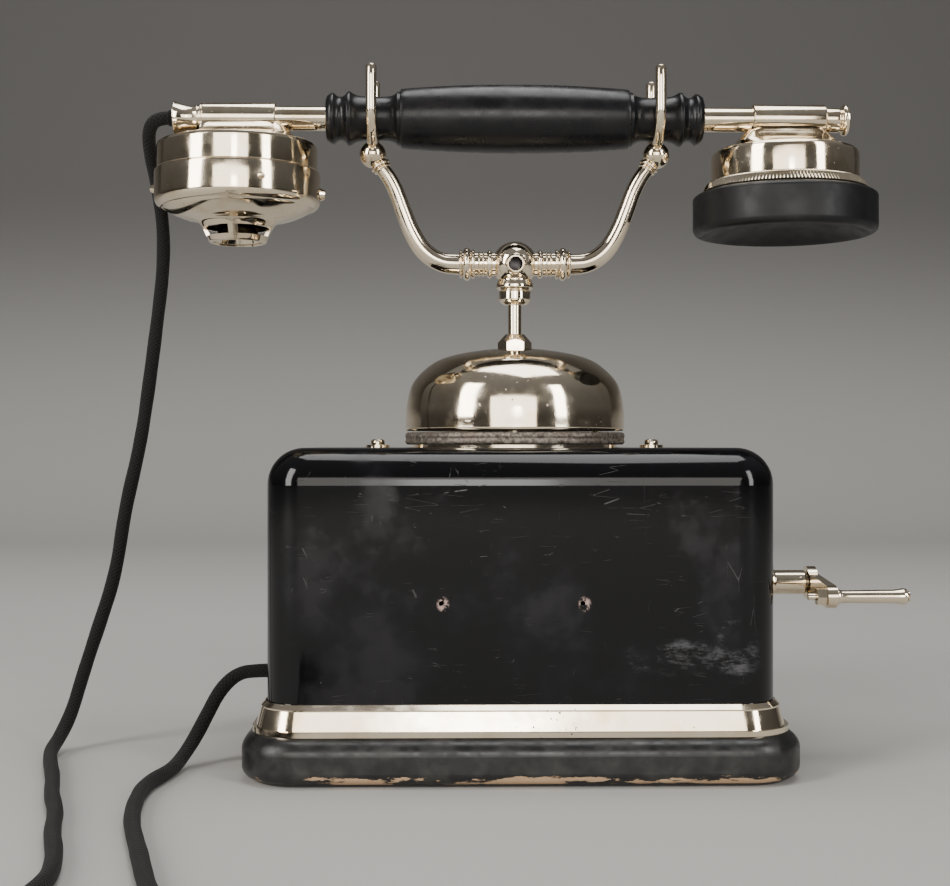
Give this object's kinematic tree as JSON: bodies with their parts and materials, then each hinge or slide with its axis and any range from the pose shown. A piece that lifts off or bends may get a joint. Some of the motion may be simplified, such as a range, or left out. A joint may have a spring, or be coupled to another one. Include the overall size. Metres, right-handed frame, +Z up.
{
  "type": "hand-crank magneto table telephone",
  "caption": "Desk telephone with a black steel case, a bell on top, a handset on a sprung cradle with two forks, a hand crank at the side and a handset cord.",
  "frame": {"origin": "centre of the underside of the base", "axes": "+Z up, -Y out of the front of the case, +X towards the crank, along the handset"},
  "size_m": [0.3074, 0.345, 0.2503],
  "materials": {
    "felt": "black felt",
    "plinth": "satin black paint on wood, worn to bare wood along the lower edge",
    "nickel": "bright nickel plate, slightly yellowed",
    "enamel": "gloss black enamel on pressed steel, scratched",
    "ebonite": "satin black ebonite",
    "ebonite_matte": "matte black ebonite",
    "bell_ring_metal": "grey-brown speckled casting",
    "steel": "plain steel",
    "brass": "brass",
    "copper_wire": "enamelled copper wire under tape",
    "iron": "dark iron",
    "braid": "black braided cotton"
  },
  "bodies": {
    "root": {"base_felt": "felt", "base_plinth": "plinth", "trim_band": "nickel", "base_plate": "steel", "case_cover": "enamel", "cover_screw_washers": "nickel", "cover_screws": "nickel", "cord_gland": "ebonite", "chassis_plate": "steel", "chassis_posts": "steel", "bell_seat_plate": "nickel", "bell_base_ring": "bell_ring_metal", "bell_gong": "nickel", "bell_nut": "nickel", "post_tube": "nickel", "ringer_yoke": "iron", "ringer_coils": "copper_wire", "hook_spring": "steel", "hook_switch_block": "ebonite", "hook_switch_springs": "brass", "magneto_magnets": "iron", "magneto_pole_pieces": "iron", "magneto_end_plates": "brass", "crank_bush": "nickel", "cord_handset_run": "braid", "cord_case_run": "braid", "cord_coil": "braid"},
    "clapper": {"bell_clapper": "brass"},
    "cradle": {"hook_plunger": "nickel", "cradle_hub": "nickel", "cradle_collars": "nickel", "cradle_arms": "nickel", "fork_left": "nickel", "fork_right": "nickel"},
    "handset": {"handset_grip": "ebonite", "handset_tube": "nickel", "transmitter_stem": "nickel", "receiver_stem": "nickel", "cord_trumpet": "nickel", "cord_sleeve": "braid", "end_button": "nickel", "transmitter_case": "nickel", "transmitter_cover": "nickel", "mouthpiece_funnel": "nickel", "transmitter_capsule": "steel", "transmitter_screws": "nickel", "receiver_case": "nickel", "knurled_ring": "nickel", "ear_cap": "ebonite_matte", "receiver_diaphragm": "iron", "receiver_magnet": "iron", "receiver_bobbins": "copper_wire"},
    "crank": {"crank_shaft": "steel", "main_gear": "brass", "crank_arm": "nickel", "crank_spindle": "nickel"},
    "crank_handle": {"crank_grip": "nickel"},
    "armature": {"armature_rotor": "iron", "armature_winding": "copper_wire", "armature_pinion": "brass"}
  },
  "joints": [
    {"name": "handset_lift", "type": "slide", "parent": "root", "child": "handset", "axis": [0, 0, 1], "range_m": [0, 0.06], "deforming": ["cord_handset_run"]},
    {"name": "cradle_plunge", "type": "slide", "parent": "root", "child": "cradle", "axis": [0, 0, 1], "range_m": [0, 0.006], "deforming": ["hook_spring"]},
    {"name": "crank_spin", "type": "hinge", "parent": "root", "child": "crank", "pos_m": [0.1, 0, 0.0606], "axis": [1, 0, 0], "continuous": true},
    {"name": "armature_spin", "type": "hinge", "parent": "root", "child": "armature", "pos_m": [-0.014, 0, 0.0354], "axis": [1, 0, 0], "continuous": true},
    {"name": "grip_spin", "type": "hinge", "parent": "crank", "child": "crank_handle", "pos_m": [0.125, -0.03, 0.0583], "axis": [1, 0, 0], "continuous": true},
    {"name": "clapper_swing", "type": "hinge", "parent": "root", "child": "clapper", "pos_m": [0.03, 0, 0.0956], "axis": [0, 1, 0], "range_deg": [-3, 3], "stiffness_Nm_per_rad": 0.02}
  ],
  "couplings": [
    {"joint": "cradle_plunge", "follows": "handset_lift", "ratio": 0.1},
    {"joint": "armature_spin", "follows": "crank_spin", "ratio": -5}
  ]
}
